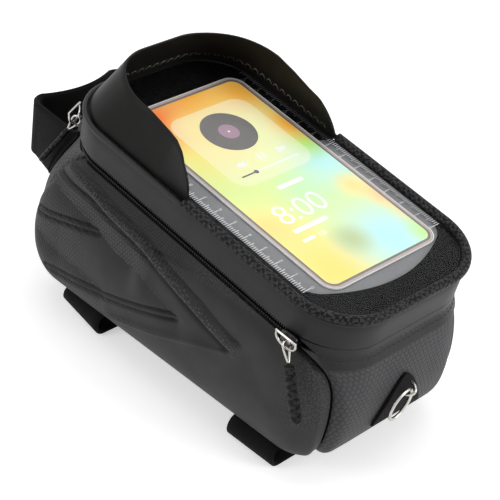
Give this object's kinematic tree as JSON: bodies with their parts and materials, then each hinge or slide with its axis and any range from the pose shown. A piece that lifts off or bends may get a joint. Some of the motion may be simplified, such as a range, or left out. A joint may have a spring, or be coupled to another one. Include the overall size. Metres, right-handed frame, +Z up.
{
  "type": "bike phone bag",
  "caption": "Zipped bag for a bicycle's top tube with a clear phone window in its hinged lid, a sun visor and hook-and-loop straps",
  "frame": {"origin": "middle of the base panel's underside, where it lies on the bike's top tube", "axes": "+X to the bag's right, +Y towards the bike's stem, +Z up"},
  "size_m": [0.1228, 0.2449, 0.1444],
  "materials": {
    "moulded_shell": "moulded, matt, faint carbon weave",
    "embossed_fabric": "honeycomb embossed, matt",
    "band_fabric": "coated fabric, semi matt",
    "webbing": "woven, matt",
    "binding": "coated, carbon weave",
    "zip_plastic": "matt",
    "visor_plastic": "fine grain",
    "clear_film": "clear, glossy",
    "printed_border": "printed, glossy",
    "screen_card": "printed, satin",
    "pocket_plastic": "satin",
    "bright_metal": "polished",
    "pull_rubber": "moulded, matt"
  },
  "bodies": {
    "root": {"left_side_panel": "moulded_shell", "right_side_panel": "moulded_shell", "front_panel": "embossed_fabric", "rear_panel": "embossed_fabric", "base_panel": "webbing", "body_zip_teeth": "zip_plastic", "body_zip_tape": "webbing", "hinge_flap": "band_fabric", "rear_tab": "webbing", "tab_staple": "bright_metal", "rear_bottom_strap": "webbing", "front_bottom_strap": "webbing", "front_strap": "webbing"},
    "lid": {"lid_band": "band_fabric", "lid_piping": "binding", "lid_zip_teeth": "zip_plastic", "lid_zip_tape": "webbing", "visor": "visor_plastic", "window_film": "clear_film", "window_border": "printed_border", "display_card": "screen_card", "pocket_sheet": "pocket_plastic", "pocket_backing": "webbing"},
    "rear_slider": {"rear_slider": "bright_metal"},
    "rear_pull": {"rear_pull_link": "bright_metal", "rear_pull_tab": "pull_rubber"},
    "front_slider": {"front_slider": "bright_metal"},
    "front_pull": {"front_pull_link": "bright_metal", "front_pull_tab": "pull_rubber"},
    "tab_ring": {"tab_ring": "bright_metal"}
  },
  "joints": [
    {"name": "lid_hinge", "type": "hinge", "parent": "root", "child": "lid", "pos_m": [0, -0.10145, 0.06421], "axis": [1, 0, 0], "range_deg": [0, 100]},
    {"name": "rear_slider_run", "type": "slide", "parent": "root", "child": "rear_slider", "axis": [0, 0.9903, 0.1392], "range_m": [0, 0.1]},
    {"name": "rear_pull_swing", "type": "hinge", "parent": "rear_slider", "child": "rear_pull", "pos_m": [-0.05786, -0.07284, 0.06571], "axis": [-0.0469, 0.9892, 0.139], "range_deg": [0, 70]},
    {"name": "front_slider_run", "type": "hinge", "parent": "root", "child": "front_slider", "pos_m": [-0.0225, 0.05754, 0.08403], "axis": [0, -0.1392, 0.9903], "range_deg": [0, 55]},
    {"name": "front_pull_swing", "type": "hinge", "parent": "front_slider", "child": "front_pull", "pos_m": [-0.03633, 0.08981, 0.08857], "axis": [0.9205, 0.3869, 0.0544], "range_deg": [0, 50]},
    {"name": "tab_ring_swing", "type": "hinge", "parent": "root", "child": "tab_ring", "pos_m": [0, -0.10935, 0.032], "axis": [-0.7071, 0, 0.7071], "range_deg": [0, 80]}
  ]
}
